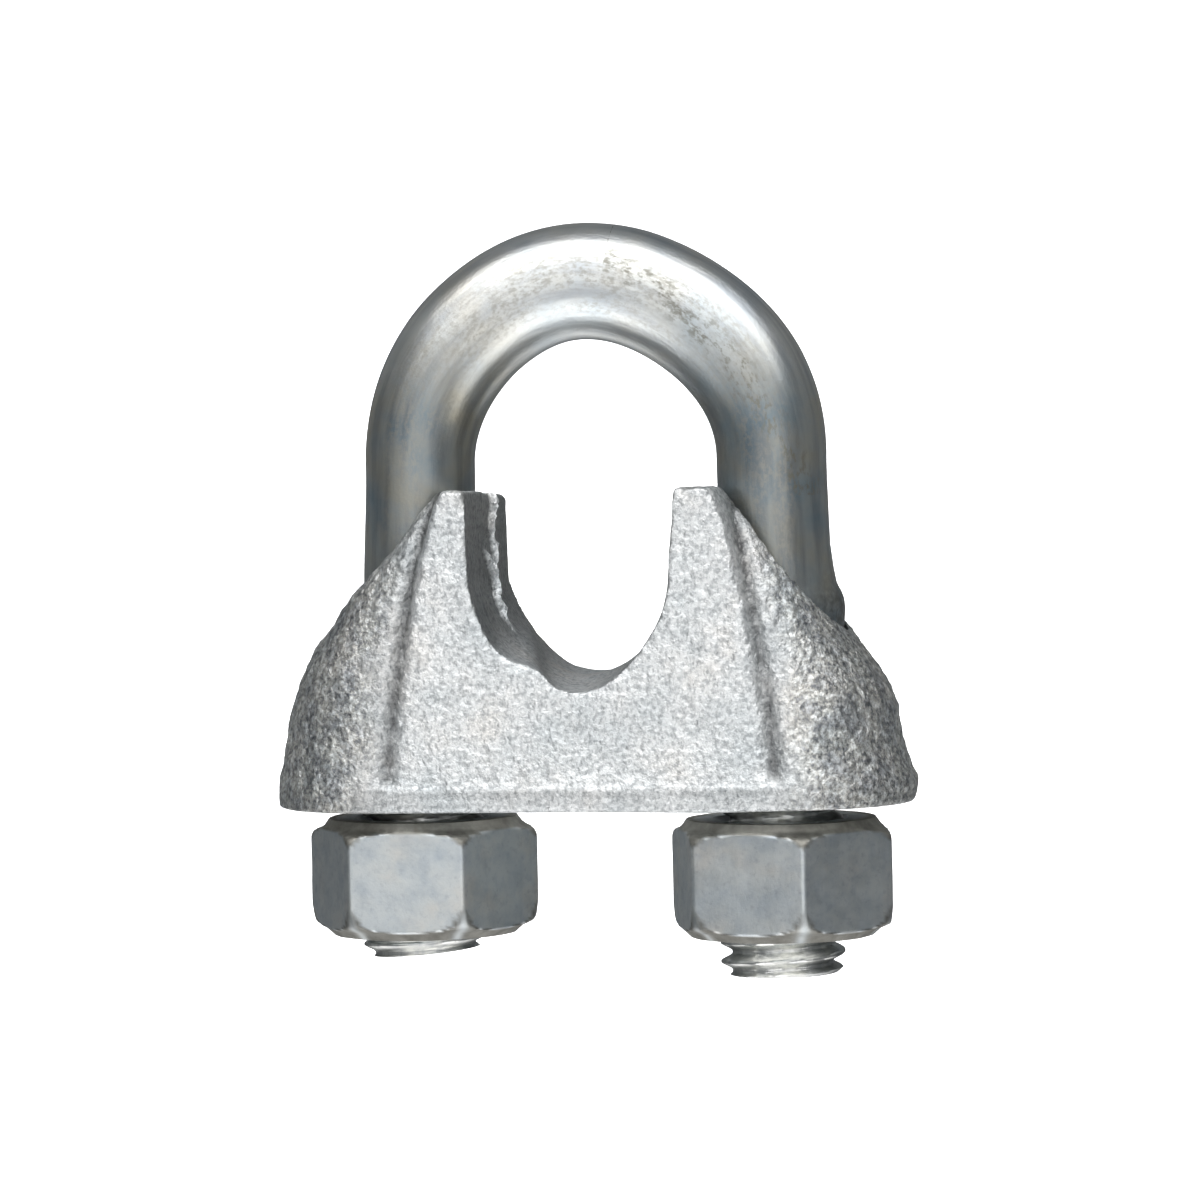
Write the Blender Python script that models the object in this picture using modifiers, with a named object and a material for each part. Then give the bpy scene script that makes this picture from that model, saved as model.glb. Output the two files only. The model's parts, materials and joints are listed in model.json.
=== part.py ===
"""Wire rope clip: a threaded U-bolt, a cast saddle and two hexagon nuts.

Frame: the origin is on the rope's axis, at the centre of the saddle's rope seat.
+X runs from one leg of the U-bolt to the other, +Y runs along the rope, and
+Z points from the saddle to the bow.
"""
import math

import bmesh
import bpy
from mathutils import Matrix

MM = 0.001

# ---- driving dimensions, in metres ----
# M10 x 1.5 thread, rolled on a rod of the thread's pitch diameter
PITCH = 1.5 * MM
THREAD_CREST_R = 4.925 * MM
THREAD_ROOT_R = 4.05 * MM
THREAD_CLEARANCE = 0.25 * MM
THREAD_TOP_Z = -11.5 * MM
THREAD_RUN_OUT = 1.2 * MM
LEG_CHAMFER = 1.0 * MM

# U-bolt
ROD_R = 4.4 * MM
LEG_X = 14.35 * MM
BOW_R = 14.0 * MM
BOW_Z = 8.9 * MM
LEG_STRAIGHT_Z = -2.0 * MM
LEG_END_Z = {"left": -29.8 * MM, "right": -31.4 * MM}

# saddle
UNDERSIDE_Z = -18.2 * MM
HORN_TOP_Z = 7.0 * MM
SEAT_R = 8.27 * MM
SEAT_WAIST_R = 7.95 * MM
LEG_HOLE_R = 5.5 * MM
SADDLE_HALF_DEPTH = 9.45 * MM
LIP_HEIGHT = 1.7 * MM
PANEL_TOP_HALF_WIDTH = 11.3 * MM
PANEL_BOTTOM_HALF_WIDTH = 15.4 * MM

# hexagon nuts, 16 mm across flats
NUT_ACROSS_FLATS = 16.0 * MM
NUT_CORNER_R = NUT_ACROSS_FLATS / math.sqrt(3)
NUT_HEIGHT = 9.25 * MM
NUT_FACE_R = 7.5 * MM
NUT_CHAMFER_DEPTH = 1.9 * MM
NUT_MOUTH_R = 5.475 * MM
NUT_MOUTH_DEPTH = 1.0 * MM
NUT_TOP_Z = {"left": -19.1 * MM, "right": -19.4 * MM}
NUT_TURN = {"left": 0.0, "right": math.radians(-12.8)}

# Saddle body in plan, level by level from the underside to the horn tops:
# height, half length along X, half depth along Y, radius of the plan's corners
SADDLE_LEVELS = [
    (UNDERSIDE_Z, 25.6 * MM, 9.45 * MM, 9.1 * MM),
    (UNDERSIDE_Z + LIP_HEIGHT, 25.5 * MM, 9.45 * MM, 9.1 * MM),
    (UNDERSIDE_Z + LIP_HEIGHT + 0.4 * MM, 25.1 * MM, 9.15 * MM, 8.8 * MM),
    (-12.5 * MM, 24.7 * MM, 9.0 * MM, 8.6 * MM),
    (-9.6 * MM, 24.1 * MM, 8.8 * MM, 8.3 * MM),
    (-7.6 * MM, 23.3 * MM, 8.6 * MM, 7.9 * MM),
    (-5.5 * MM, 21.9 * MM, 8.4 * MM, 7.2 * MM),
    (-3.3 * MM, 20.1 * MM, 8.2 * MM, 6.4 * MM),
    (-1.0 * MM, 18.0 * MM, 8.0 * MM, 5.4 * MM),
    (0.9 * MM, 16.1 * MM, 7.8 * MM, 4.5 * MM),
    (3.0 * MM, 14.3 * MM, 7.6 * MM, 3.6 * MM),
    (5.4 * MM, 12.6 * MM, 7.3 * MM, 2.8 * MM),
    (HORN_TOP_Z, 11.2 * MM, 7.1 * MM, 2.2 * MM),
]

# colour, roughness and metallic value of each finish
FINISHES = {
    "zinc_plated_steel": ((0.62, 0.66, 0.68), 0.35, 1.0),
    "galvanised_casting": ((0.72, 0.74, 0.74), 0.6, 0.9),
    "zinc_plated_nut": ((0.55, 0.58, 0.58), 0.4, 1.0),
}

# facets round each kind of round form
THREAD_STEPS = 24
NUT_STEPS = 48
HOLE_STEPS = 32

OVER = 3 * MM
WELD = 0.00001
SIDES = {"left": -1, "right": 1}


# ---- scene and helpers ----
def clear_scene():
    for obj in list(bpy.data.objects):
        bpy.data.objects.remove(obj, do_unlink=True)


def new_collection(name):
    collection = bpy.data.collections.new(name)
    bpy.context.scene.collection.children.link(collection)
    return collection


def finish(name):
    colour, roughness, metallic = FINISHES[name]
    material = bpy.data.materials.new(name)
    material.use_nodes = True
    shader = material.node_tree.nodes["Principled BSDF"]
    shader.inputs["Base Color"].default_value = (*colour, 1.0)
    shader.inputs["Roughness"].default_value = roughness
    shader.inputs["Metallic"].default_value = metallic
    return material


def as_object(name, bm, collection):
    """Turn a bmesh into an object, with its faces pointing out."""
    bmesh.ops.recalc_face_normals(bm, faces=bm.faces)
    mesh = bpy.data.meshes.new(name)
    bm.to_mesh(mesh)
    bm.free()
    obj = bpy.data.objects.new(name, mesh)
    collection.objects.link(obj)
    return obj


def as_cutter(obj):
    obj.hide_render = True
    obj.display_type = "WIRE"
    return obj


def loft(name, rings, collection):
    """A solid through rings of points, with a flat face at each end."""
    bm = bmesh.new()
    rows = [[bm.verts.new(point) for point in ring] for ring in rings]
    for near, far in zip(rows, rows[1:]):
        for i in range(len(near)):
            j = (i + 1) % len(near)
            bm.faces.new((near[i], near[j], far[j], far[i]))
    bm.faces.new(rows[0])
    bm.faces.new(rows[-1])
    return as_object(name, bm, collection)


def to_mesh_object(source, collection):
    """Replace a curve or a modified object by the welded mesh it makes."""
    bpy.context.view_layer.update()
    evaluated = source.evaluated_get(bpy.context.evaluated_depsgraph_get())
    bm = bmesh.new()
    bm.from_mesh(bpy.data.meshes.new_from_object(evaluated))
    bmesh.ops.remove_doubles(bm, verts=bm.verts, dist=WELD)
    name = source.name
    matrix = source.matrix_world.copy()
    bpy.data.objects.remove(source, do_unlink=True)
    solid = as_object(name, bm, collection)
    solid.matrix_world = matrix
    return solid


def boolean(obj, tool, operation):
    modifier = obj.modifiers.new(f"{operation.lower()}_{tool.name}", "BOOLEAN")
    modifier.object = tool
    modifier.operation = operation
    modifier.solver = "EXACT"


def spun(name, profile, steps, collection):
    """A profile of (radius, z) pairs, running down, with a Screw modifier about Z."""
    bm = bmesh.new()
    verts = [bm.verts.new((radius, 0.0, z)) for radius, z in profile]
    for upper, lower in zip(verts, verts[1:]):
        bm.edges.new((upper, lower))
    mesh = bpy.data.meshes.new(name)
    bm.to_mesh(mesh)
    bm.free()
    obj = bpy.data.objects.new(name, mesh)
    collection.objects.link(obj)
    screw = obj.modifiers.new("turn", "SCREW")
    screw.axis = "Z"
    screw.steps = steps
    screw.render_steps = steps
    return obj, screw


def turned(name, profile, steps, collection):
    """A round solid from a profile that starts and ends on the axis."""
    obj, screw = spun(name, profile, steps, collection)
    screw.use_merge_vertices = True
    screw.merge_threshold = WELD
    return to_mesh_object(obj, collection)


def outline_solid(name, points, half_depth, collection):
    """A flat outline in the XZ plane, as thick as twice half_depth along Y."""
    curve = bpy.data.curves.new(name, "CURVE")
    curve.dimensions = "2D"
    curve.fill_mode = "BOTH"
    curve.extrude = half_depth
    spline = curve.splines.new("POLY")
    spline.points.add(len(points) - 1)
    for point, (x, z) in zip(spline.points, points):
        point.co = (x, z, 0.0, 1.0)
    spline.use_cyclic_u = True
    obj = bpy.data.objects.new(name, curve)
    collection.objects.link(obj)
    obj.rotation_euler = (math.pi / 2, 0.0, 0.0)
    return to_mesh_object(obj, collection)


def thread(name, crest_r, root_r, top_z, bottom_z, collection):
    """A right-hand threaded rod that passes both heights by a pitch.

    Its ridge is on +X at every whole pitch above or below the origin, so all
    the threads of the clip are in mesh.
    """
    first = math.floor(bottom_z / PITCH) - 1
    last = math.ceil(top_z / PITCH) + 1
    start = first * PITCH
    ridge_to_ridge = [
        (crest_r, start + PITCH),
        (root_r, start + PITCH / 2),
        (crest_r, start),
    ]
    obj, screw = spun(name, ridge_to_ridge, THREAD_STEPS, collection)
    screw.screw_offset = PITCH
    screw.iterations = last - first
    rod = to_mesh_object(obj, collection)
    # close each open end with a fan
    bm = bmesh.new()
    bm.from_mesh(rod.data)
    rim = [edge for edge in bm.edges if edge.is_boundary]
    caps = bmesh.ops.holes_fill(bm, edges=rim, sides=0)["faces"]
    bmesh.ops.poke(bm, faces=caps)
    bmesh.ops.recalc_face_normals(bm, faces=bm.faces)
    bm.to_mesh(rod.data)
    bm.free()
    return rod


# ---- U-bolt ----
def rod_path():
    """Centre line of the plain rod: up the left leg, over the bow and down."""
    bottom = THREAD_TOP_Z - PITCH
    rise = []
    leg_points = 6
    for i in range(leg_points):
        t = i / leg_points
        z = LEG_STRAIGHT_Z + (BOW_Z - LEG_STRAIGHT_Z) * t
        ease = t * t * (3 - 2 * t)
        rise.append((LEG_X + (BOW_R - LEG_X) * ease, z))
    left = [(-LEG_X, bottom)] + [(-x, z) for x, z in rise]
    arc_points = 24
    arc = []
    for i in range(arc_points + 1):
        angle = math.pi * (1 - i / arc_points)
        arc.append((BOW_R * math.cos(angle), BOW_Z + BOW_R * math.sin(angle)))
    right = [(-x, z) for x, z in reversed(left)]
    return left + arc + right


def plain_rod(collection):
    curve = bpy.data.curves.new("u_bolt", "CURVE")
    curve.dimensions = "3D"
    curve.bevel_depth = ROD_R
    curve.bevel_resolution = 10
    curve.use_fill_caps = True
    path = rod_path()
    spline = curve.splines.new("POLY")
    spline.points.add(len(path) - 1)
    for point, (x, z) in zip(spline.points, path):
        point.co = (x, 0.0, z, 1.0)
    obj = bpy.data.objects.new("u_bolt", curve)
    collection.objects.link(obj)
    return to_mesh_object(obj, collection)


def leg_envelope(side, collection):
    """The turned blank that a leg's thread is cut in, chamfered at both ends."""
    end = LEG_END_Z[side]
    inside = 0.1 * MM
    outer_r = THREAD_CREST_R + inside / 2
    profile = [
        (0.0, THREAD_TOP_Z),
        (ROD_R - inside, THREAD_TOP_Z),
        (outer_r, THREAD_TOP_Z - THREAD_RUN_OUT),
        (outer_r, end + LEG_CHAMFER),
        (THREAD_ROOT_R - inside, end),
        (0.0, end),
    ]
    return turned(f"{side}_leg_blank", profile, THREAD_STEPS, collection)


def threaded_leg(side, cutters):
    leg = thread(f"{side}_leg_thread", THREAD_CREST_R, THREAD_ROOT_R,
                 THREAD_TOP_Z, LEG_END_Z[side], cutters)
    blank = as_cutter(leg_envelope(side, cutters))
    boolean(leg, blank, "INTERSECT")
    for obj in (leg, blank):
        obj.location.x = SIDES[side] * LEG_X
    return as_cutter(leg)


def u_bolt(parts, cutters, material):
    bolt = plain_rod(parts)
    for side in SIDES:
        boolean(bolt, threaded_leg(side, cutters), "UNION")
    bolt.data.materials.append(material)
    return bolt


# ---- saddle ----
def plan_ring(z, half_length, half_depth, corner_r):
    """Points of a rounded rectangle at height z, corner by corner."""
    corner_steps = 7
    ring = []
    for quarter in range(4):
        sign_x = 1 if quarter in (0, 3) else -1
        sign_y = 1 if quarter in (0, 1) else -1
        for i in range(corner_steps + 1):
            angle = (quarter + i / corner_steps) * math.pi / 2
            x = sign_x * (half_length - corner_r) + corner_r * math.cos(angle)
            y = sign_y * (half_depth - corner_r) + corner_r * math.sin(angle)
            ring.append((x, y, z))
    return ring


def saddle_body(parts):
    """The casting's outer form, lofted through its plan at each level."""
    return loft("saddle", [plan_ring(*level) for level in SADDLE_LEVELS], parts)


def face_panel(cutters):
    """The raised trapezoid that stands on the casting's front and back."""
    low = UNDERSIDE_Z + LIP_HEIGHT / 2
    half = [(PANEL_BOTTOM_HALF_WIDTH, low), (PANEL_TOP_HALF_WIDTH, HORN_TOP_Z)]
    points = half + [(-x, z) for x, z in reversed(half)]
    return outline_solid("face_panel", points, SADDLE_HALF_DEPTH, cutters)


def seat_cutter(cutters):
    """The rope seat: round below, open above, waisted at mid depth."""
    sections = [
        (-SADDLE_HALF_DEPTH - OVER, SEAT_R),
        (-SADDLE_HALF_DEPTH, SEAT_R),
        (0.0, SEAT_WAIST_R),
        (SADDLE_HALF_DEPTH, SEAT_R),
        (SADDLE_HALF_DEPTH + OVER, SEAT_R),
    ]
    arc_steps = 24
    rings = []
    for y, radius in sections:
        ring = [(radius, y, HORN_TOP_Z + OVER)]
        for i in range(arc_steps + 1):
            angle = -math.pi * i / arc_steps
            ring.append((radius * math.cos(angle), y, radius * math.sin(angle)))
        ring.append((-radius, y, HORN_TOP_Z + OVER))
        rings.append(ring)
    return as_cutter(loft("rope_seat_cutter", rings, cutters))


def leg_hole_cutter(side, cutters):
    bm = bmesh.new()
    height = HORN_TOP_Z - UNDERSIDE_Z + 2 * OVER
    centre = Matrix.Translation((SIDES[side] * LEG_X, 0.0, UNDERSIDE_Z - OVER + height / 2))
    bmesh.ops.create_cone(bm, cap_ends=True, segments=HOLE_STEPS, radius1=LEG_HOLE_R,
                          radius2=LEG_HOLE_R, depth=height, matrix=centre)
    return as_cutter(as_object(f"{side}_leg_hole", bm, cutters))


def saddle(parts, cutters, material):
    casting = saddle_body(parts)
    boolean(casting, as_cutter(face_panel(cutters)), "UNION")
    boolean(casting, seat_cutter(cutters), "DIFFERENCE")
    for side in SIDES:
        boolean(casting, leg_hole_cutter(side, cutters), "DIFFERENCE")
    casting.data.materials.append(material)
    return casting


# ---- nuts ----
def nut_blank(cutters):
    """The turned form that rounds off the corners of both ends of a nut."""
    slope = NUT_CHAMFER_DEPTH / (NUT_CORNER_R - NUT_FACE_R)
    outer_r = NUT_CORNER_R + 0.2 * MM
    drop = slope * (outer_r - NUT_FACE_R)
    profile = [
        (0.0, 0.0),
        (NUT_FACE_R, 0.0),
        (outer_r, -drop),
        (outer_r, -NUT_HEIGHT + drop),
        (NUT_FACE_R, -NUT_HEIGHT),
        (0.0, -NUT_HEIGHT),
    ]
    return as_cutter(turned("nut_chamfer", profile, NUT_STEPS, cutters))


def bore_mouths(name, cutters):
    """The two cones that open the thread at the nut's faces."""
    throat_r = NUT_MOUTH_R - NUT_MOUTH_DEPTH
    over = 0.5 * MM
    core_r = throat_r - over
    core_end = 2 * NUT_MOUTH_DEPTH
    profile = [
        (0.0, over),
        (NUT_MOUTH_R + over, over),
        (throat_r, -NUT_MOUTH_DEPTH),
        (core_r, -core_end),
        (core_r, -NUT_HEIGHT + core_end),
        (throat_r, -NUT_HEIGHT + NUT_MOUTH_DEPTH),
        (NUT_MOUTH_R + over, -NUT_HEIGHT - over),
        (0.0, -NUT_HEIGHT - over),
    ]
    return as_cutter(turned(name, profile, THREAD_STEPS, cutters))


def nut(side, parts, cutters, material):
    """A hexagon nut with its origin on the thread's axis, at its top face."""
    name = f"{side}_nut"
    bm = bmesh.new()
    flat_to_front = Matrix.Rotation(math.pi / 6, 4, "Z")
    middle = Matrix.Translation((0.0, 0.0, -NUT_HEIGHT / 2))
    bmesh.ops.create_cone(bm, cap_ends=True, segments=6, radius1=NUT_CORNER_R,
                          radius2=NUT_CORNER_R, depth=NUT_HEIGHT,
                          matrix=middle @ flat_to_front)
    obj = as_object(name, bm, parts)
    obj.location = (SIDES[side] * LEG_X, 0.0, NUT_TOP_Z[side])
    obj.rotation_euler.z = NUT_TURN[side]

    chamfer = nut_blank(cutters)
    mouths = bore_mouths(f"{side}_bore_mouths", cutters)
    for tool in (chamfer, mouths):
        tool.location = obj.location
    tap = thread(f"{side}_tap", THREAD_CREST_R + THREAD_CLEARANCE,
                 THREAD_ROOT_R + THREAD_CLEARANCE, NUT_TOP_Z[side],
                 NUT_TOP_Z[side] - NUT_HEIGHT, cutters)
    tap.location.x = SIDES[side] * LEG_X
    boolean(obj, chamfer, "INTERSECT")
    boolean(obj, as_cutter(tap), "DIFFERENCE")
    boolean(obj, mouths, "DIFFERENCE")
    obj.data.materials.append(material)
    return obj


def shade(obj):
    obj.data.shade_smooth()
    obj.data.set_sharp_from_angle(angle=math.radians(30))


def main():
    clear_scene()
    parts = new_collection("wire_rope_clip")
    cutters = new_collection("cutters")
    made = [
        u_bolt(parts, cutters, finish("zinc_plated_steel")),
        saddle(parts, cutters, finish("galvanised_casting")),
    ]
    nut_finish = finish("zinc_plated_nut")
    for side in SIDES:
        made.append(nut(side, parts, cutters, nut_finish))
    for obj in made:
        shade(obj)


main()
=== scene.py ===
"""Looks of the wire rope clip: fine meshes, metals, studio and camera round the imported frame."""

import json
import math

import bmesh
import bpy
import numpy as np
from mathutils import Matrix, Vector, noise


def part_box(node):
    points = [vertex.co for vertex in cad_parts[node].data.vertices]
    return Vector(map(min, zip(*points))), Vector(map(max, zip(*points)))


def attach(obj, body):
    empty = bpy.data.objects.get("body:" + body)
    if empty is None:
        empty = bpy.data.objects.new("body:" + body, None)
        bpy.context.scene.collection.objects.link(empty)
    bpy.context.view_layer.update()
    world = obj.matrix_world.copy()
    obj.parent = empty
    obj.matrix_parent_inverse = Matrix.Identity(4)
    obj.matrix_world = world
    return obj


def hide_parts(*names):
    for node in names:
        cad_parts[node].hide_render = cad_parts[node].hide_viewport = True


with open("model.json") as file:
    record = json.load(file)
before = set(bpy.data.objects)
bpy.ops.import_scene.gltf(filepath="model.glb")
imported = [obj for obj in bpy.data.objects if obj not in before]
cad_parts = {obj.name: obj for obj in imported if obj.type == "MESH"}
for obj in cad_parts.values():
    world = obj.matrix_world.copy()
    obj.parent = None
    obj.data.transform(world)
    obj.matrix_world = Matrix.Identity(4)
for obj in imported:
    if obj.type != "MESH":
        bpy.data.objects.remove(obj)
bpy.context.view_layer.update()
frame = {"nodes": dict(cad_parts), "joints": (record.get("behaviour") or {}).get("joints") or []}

MM = 0.001
SIDES = {"left": -1, "right": 1}

# ---- sizes read from the frame, in millimetres ----
JOINTS = {joint["name"]: joint for joint in frame["joints"]}
LEG_X = JOINTS["right_nut_spin"]["pos_m"][0] / MM
SADDLE_LOW, SADDLE_HIGH = (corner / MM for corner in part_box("saddle"))
BOLT_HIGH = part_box("u_bolt")[1] / MM
NUT_BOX = {side: [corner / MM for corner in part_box(f"{side}_nut")] for side in SIDES}


def leg_end(sign):
    """Height of the lowest point of the U-bolt's leg on that side."""
    vertices = frame["nodes"]["u_bolt"].data.vertices
    return min(v.co.z for v in vertices if v.co.x * sign > 0) / MM


LEG_END = {side: leg_end(sign) for side, sign in SIDES.items()}
# Lowest point that any piece reaches, with the saddle and nuts at the bottom of their travel
LOWEST = min(box[0].z for box in NUT_BOX.values()) + JOINTS["saddle_slide"]["range_m"][0] / MM

# ---- sizes of the fine shapes, in millimetres ----
PITCH = 1.5
CREST_R = 4.93
ROOT_R = 4.02
THREAD_TOP = -11.5
LEG_R = 4.35
CROWN_R = 4.62
CROWN_RISE = 0.25
BOW_R = 14.0
BOW_Z = BOLT_HIGH.z - BOW_R - 4.4
# How far the bow strays outwards from a round arc, at angles from the right side over to the left
BOW_ANGLE = (0, 18, 35, 60, 85, 105, 130, 180)
BOW_STRAY = (0.1, 0.26, 0.05, -0.28, 0.0, 0.2, 0.02, 0.0)
STRAIGHT_TOP = -2.0
# Swelling on the outer side of the right leg, where it enters the saddle
SWELL_Z = (-8.0, -5.5, -4.0, -3.0, -2.3, -1.8, -1.0, 0.2, 2.0)
SWELL = (0.0, 0.75, 0.98, 1.05, 1.0, 0.86, 0.42, 0.2, 0.0)
SWELL_TURN = 0.17
SWELL_SPREAD = 0.9
# Course of a scored line on the bow's front: angle from the right side, distance out from the
# rod's centre line
SCORE_ANGLE = (-12, 0, 12, 23, 48, 71, 85)
SCORE_REACH = (3.2, 2.2, 0.6, 0.0, -0.1, 1.2, 1.8)
NO_SCORE = 20.0
END_R = 4.25
# Slope of the cut across the end of each leg, how far up it reaches, and how far the visible
# leg goes below the CAD's
END_SLOPE = {"left": 0.075, "right": 0.01}
END_SLOPE_HEIGHT = 2.0
END_DROP = {"left": 0.05, "right": 0.3}

# The casting and its rope seat sit a little to the left of the middle between the legs
CAST_X = -0.4
SEAT_X = -0.93
HALF_DEPTH = 9.45
HOLE_R = 5.5
# How far a cutter reaches past what it cuts
OVER = 3.0
UNDERSIDE = SADDLE_LOW.z
HORN_TOP = SADDLE_HIGH.z
LIP_TOP = UNDERSIDE + 2.0
VOXEL = 0.27
# Lean of the horn tops from back to front, and sag of the foot's edge on the right
HORN_LEAN = 0.65
FOOT_SAG = 0.22
RIDGE_RISE = 0.68

NUT_FLATS = 16.0
NUT_EDGE = 0.45
NUT_TURN = {"left": 0.0, "right": math.radians(-12.8)}
FACE_RINGS = (7.1, 6.4, 5.8)
MOUTH_R = CREST_R + 0.45
THROAT_R = ROOT_R + 0.22
# Distance from a nut's end face and the crown's radius there, at its top and at its foot
CROWN_TOP = ((0.0, 7.5), (0.65, 7.97), (0.85, 8.5), (1.0, 8.85), (1.35, 9.1), (1.9, 9.4))
CROWN_FOOT = (
    (0.0, 7.3), (0.6, 7.97), (0.75, 8.45), (0.95, 8.8), (1.4, 9.0), (2.0, 9.12), (2.8, 9.4),
)


# ---- mesh helpers ----
def mesh_object(name, points, faces):
    """An object from points in millimetres."""
    mesh = bpy.data.meshes.new(name)
    mesh.from_pydata((np.asarray(points) * MM).tolist(), [], faces)
    obj = bpy.data.objects.new(name, mesh)
    bpy.context.scene.collection.objects.link(obj)
    return obj


def tube_faces(rows, columns, closed):
    """Quads between rows of points that each go once round.

    Closed joins the last row to the first.
    """
    faces = []
    for i in range(rows if closed else rows - 1):
        near, far = i * columns, (i + 1) % rows * columns
        for j in range(columns):
            k = (j + 1) % columns
            faces.append((near + j, near + k, far + k, far + j))
    return faces


def tube_object(name, rings, closed=False):
    """A tube through rings of points, with flat ends unless it closes on itself."""
    rings = np.asarray(rings)
    rows, columns = rings.shape[:2]
    faces = tube_faces(rows, columns, closed)
    if not closed:
        faces.append(tuple(range(columns)))
        faces.append(tuple(range((rows - 1) * columns, rows * columns)))
    obj = mesh_object(name, rings.reshape(-1, 3), faces)
    face_outwards(obj.data)
    return obj


def face_outwards(mesh):
    bm = bmesh.new()
    bm.from_mesh(mesh)
    bmesh.ops.recalc_face_normals(bm, faces=bm.faces)
    bm.to_mesh(mesh)
    bm.free()


def smoothstep(low, high, value):
    t = np.clip((value - low) / (high - low), 0.0, 1.0)
    return t * t * (3 - 2 * t)


def bell(distance, width):
    return np.exp(-(distance / width) ** 2)


def blurred(positions, values, at, width):
    """The broken line through the points, with its corners rounded over that width."""
    offsets = np.linspace(-width / 2, width / 2, 9)
    return sum(np.interp(at + offset, positions, values) for offset in offsets) / len(offsets)


def noise_at(points, size, octaves=3, seed=0.0):
    """Fractal noise of about -1 to 1 at points in millimetres, with lumps of that size."""
    shift = Vector((seed, 2 * seed, 3 * seed))
    return np.array([noise.fractal(Vector(p) / size + shift, 1.0, 2.0, octaves) for p in points])


def vertex_arrays(mesh):
    """Positions in millimetres and normals of a mesh's vertices."""
    count = len(mesh.vertices)
    positions = np.empty(count * 3)
    normals = np.empty(count * 3)
    mesh.vertices.foreach_get("co", positions)
    mesh.vertex_normals.foreach_get("vector", normals)
    return positions.reshape(-1, 3) / MM, normals.reshape(-1, 3)


def point_values(mesh, name, values):
    """Stores a number on each vertex for a material to read."""
    attribute = mesh.attributes.new(name, "FLOAT", "POINT")
    attribute.data.foreach_set("value", values)


def push_out(mesh, positions, normals, distance):
    moved = (positions + normals * distance[:, None]) * MM
    mesh.vertices.foreach_set("co", moved.ravel())
    mesh.update()


# ---- threads ----
def ridge_height(z, angle):
    """0 in the thread's valley and 1 on its ridge, which is on +X at each whole pitch."""
    phase = z / PITCH - angle / (2 * math.pi)
    away = np.abs(phase - np.round(phase))
    flank = np.clip((0.41 - away) / (0.41 - 0.07), 0.0, 1.0)
    return 0.65 * flank + 0.35 * smoothstep(0.0, 1.0, flank)


# ---- U-bolt ----
def bolt_centre_line(side_rows, leg_rows):
    """Points (x, z) and outward normals of the rod's centre line, from left end to right end."""
    bend = []
    bend_rows = 30
    for i in range(bend_rows):
        t = i / bend_rows
        z = STRAIGHT_TOP + (BOW_Z - STRAIGHT_TOP) * t
        bend.append((LEG_X, z, (t * t * (3 - 2 * t))))
    left = [(-LEG_X, z) for z in leg_rows["left"]]
    left += [(-x - (BOW_R + BOW_STRAY[-1] - x) * t, z) for x, z, t in bend]
    right = [(LEG_X, z) for z in leg_rows["right"]]
    right += [(x + (BOW_R + blurred(BOW_ANGLE, BOW_STRAY, 0, 24) - x) * t, z) for x, z, t in bend]
    arc = []
    for i in range(side_rows + 1):
        angle = math.pi * (1 - i / side_rows)
        reach = BOW_R + blurred(BOW_ANGLE, BOW_STRAY, math.degrees(angle), 24)
        rise = reach * math.sin(angle) + CROWN_RISE * math.sin(angle) ** 6
        arc.append((reach * math.cos(angle), BOW_Z + rise))
    line = np.array(left + arc + right[::-1])
    along = np.gradient(line, axis=0)
    along /= np.linalg.norm(along, axis=1)[:, None]
    return line, np.stack([-along[:, 1], along[:, 0]], axis=1)


def rod_radius(z, angle, end, wander):
    """Rod radius at a height and an angle: plain above, threaded below, chamfered at the end."""
    threaded = ROOT_R + (CREST_R - ROOT_R) * ridge_height(z, angle)
    run_out = 1 - smoothstep(THREAD_TOP - 1.6 * PITCH, THREAD_TOP, z)
    plain = LEG_R + (CROWN_R - LEG_R) * smoothstep(0.0, 0.7, (z - BOW_Z) / BOW_R)
    radius = plain + (threaded - plain) * run_out
    chamfer = END_R + 1.2 * (z - end) + wander
    return np.minimum(radius, np.maximum(chamfer, END_R - 0.3))


def turn_from(angle, middle):
    """Signed angle in radians from a middle direction, within half a turn."""
    return np.mod(angle - middle + math.pi, 2 * math.pi) - math.pi


def leg_heights(side):
    """Heights of a leg's rings: close together in the thread and wider apart above it."""
    threads = np.arange(LEG_END[side] - END_DROP[side], THREAD_TOP + 0.5, PITCH / 12)
    plain = np.arange(THREAD_TOP + 0.5, STRAIGHT_TOP, 0.4)
    return np.concatenate([threads, plain])


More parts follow.
